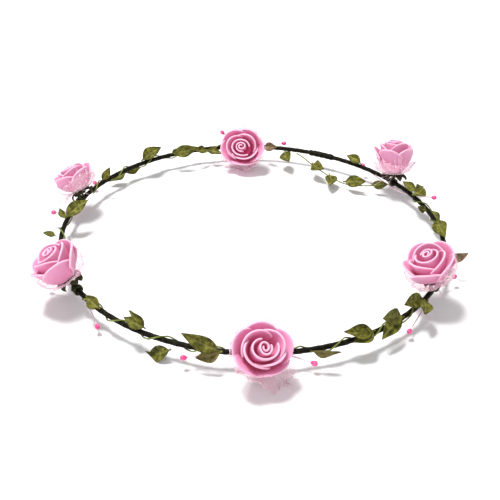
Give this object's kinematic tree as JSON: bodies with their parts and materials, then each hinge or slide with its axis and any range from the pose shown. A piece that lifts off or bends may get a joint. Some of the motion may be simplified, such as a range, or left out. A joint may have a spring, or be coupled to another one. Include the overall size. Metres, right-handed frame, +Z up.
{
  "type": "flower crown",
  "caption": "Thin taped wire ring twined with leafy vine and set with pink foam roses on bendable stems, worn round the head.",
  "frame": {"origin": "middle of the footprint, on the surface that the crown lies on; the ring wire is centred 3.3 mm to the right of it, 7 mm behind it and 9 mm above it", "axes": "+Z up through the ring, -Y towards the rose that faces the front, +X to the right seen from the front"},
  "size_m": [0.2029, 0.2185, 0.0334],
  "materials": {
    "steel_wire": "annealed",
    "paper_tape": "waxed crepe paper",
    "vine_paper": "paper covered wire",
    "leaf_paper": "embossed leaf paper",
    "petal_foam": "matte EVA foam",
    "calyx_paper": "crinkled paper",
    "stem_tape": "floral tape",
    "tulle": "sheer dotted tulle",
    "stamen": "pearl lacquer"
  },
  "bodies": {
    "ring": {"leaf_01": "leaf_paper", "leaf_02": "leaf_paper", "leaf_03": "leaf_paper", "leaf_04": "leaf_paper", "leaf_05": "leaf_paper", "leaf_06": "leaf_paper", "leaf_07": "leaf_paper", "leaf_08": "leaf_paper", "leaf_09": "leaf_paper", "leaf_10": "leaf_paper", "leaf_11": "leaf_paper", "leaf_12": "leaf_paper", "leaf_13": "leaf_paper", "leaf_14": "leaf_paper", "leaf_15": "leaf_paper", "leaf_16": "leaf_paper", "leaf_17": "leaf_paper", "leaf_18": "leaf_paper", "ring_core_wire": "steel_wire", "ring_join_tape": "paper_tape", "ring_tape_wrap": "paper_tape", "rose_1_stamens": "stamen", "rose_2_stamens": "stamen", "rose_3_stamens": "stamen", "rose_4_stamens": "stamen", "rose_5_stamens": "stamen", "rose_6_stamens": "stamen", "vine_wire_1": "vine_paper", "vine_wire_2": "vine_paper", "vine_wire_3": "vine_paper", "vine_wire_4": "vine_paper", "vine_wire_5": "vine_paper"},
    "loose_strand": {"loose_vine_strand": "vine_paper", "strand_leaf_1": "leaf_paper", "strand_leaf_2": "leaf_paper", "strand_leaf_3": "leaf_paper"},
    "rose_1": {"rose_1_calyx": "calyx_paper", "rose_1_head": "petal_foam", "rose_1_stem": "stem_tape", "rose_1_tulle": "tulle"},
    "rose_2": {"rose_2_calyx": "calyx_paper", "rose_2_head": "petal_foam", "rose_2_stem": "stem_tape", "rose_2_tulle": "tulle"},
    "rose_3": {"rose_3_calyx": "calyx_paper", "rose_3_head": "petal_foam", "rose_3_stem": "stem_tape", "rose_3_tulle": "tulle"},
    "rose_4": {"rose_4_calyx": "calyx_paper", "rose_4_head": "petal_foam", "rose_4_stem": "stem_tape", "rose_4_tulle": "tulle"},
    "rose_5": {"rose_5_calyx": "calyx_paper", "rose_5_head": "petal_foam", "rose_5_stem": "stem_tape", "rose_5_tulle": "tulle"},
    "rose_6": {"rose_6_calyx": "calyx_paper", "rose_6_head": "petal_foam", "rose_6_stem": "stem_tape", "rose_6_tulle": "tulle"}
  },
  "joints": [
    {"name": "rose_1_tilt", "type": "hinge", "parent": "ring", "child": "rose_1", "pos_m": [0.00744, -0.08791, 0.009], "axis": [0.999, 0.0436, 0], "range_deg": [-25, 25]},
    {"name": "rose_2_tilt", "type": "hinge", "parent": "ring", "child": "rose_2", "pos_m": [0.08718, -0.0376, 0.009], "axis": [0.4695, 0.8829, 0], "range_deg": [-25, 25]},
    {"name": "rose_3_tilt", "type": "hinge", "parent": "ring", "child": "rose_3", "pos_m": [0.08064, 0.06217, 0.009], "axis": [-0.5807, 0.8141, 0], "range_deg": [-25, 25]},
    {"name": "rose_4_tilt", "type": "hinge", "parent": "ring", "child": "rose_4", "pos_m": [-0.00333, 0.10177, 0.009], "axis": [-0.9976, -0.0698, 0], "range_deg": [-25, 25]},
    {"name": "rose_5_tilt", "type": "hinge", "parent": "ring", "child": "rose_5", "pos_m": [-0.08755, 0.03478, 0.009], "axis": [-0.2924, -0.9563, 0], "range_deg": [-25, 25]},
    {"name": "rose_6_tilt", "type": "hinge", "parent": "ring", "child": "rose_6", "pos_m": [-0.07592, -0.04543, 0.009], "axis": [0.5519, -0.8339, 0], "range_deg": [-25, 25]},
    {"name": "loose_strand_swing", "type": "hinge", "parent": "ring", "child": "loose_strand", "pos_m": [0.0514, 0.079, 0.00835], "axis": [0.837, -0.5463, -0.0298], "range_deg": [-10, 45]}
  ]
}
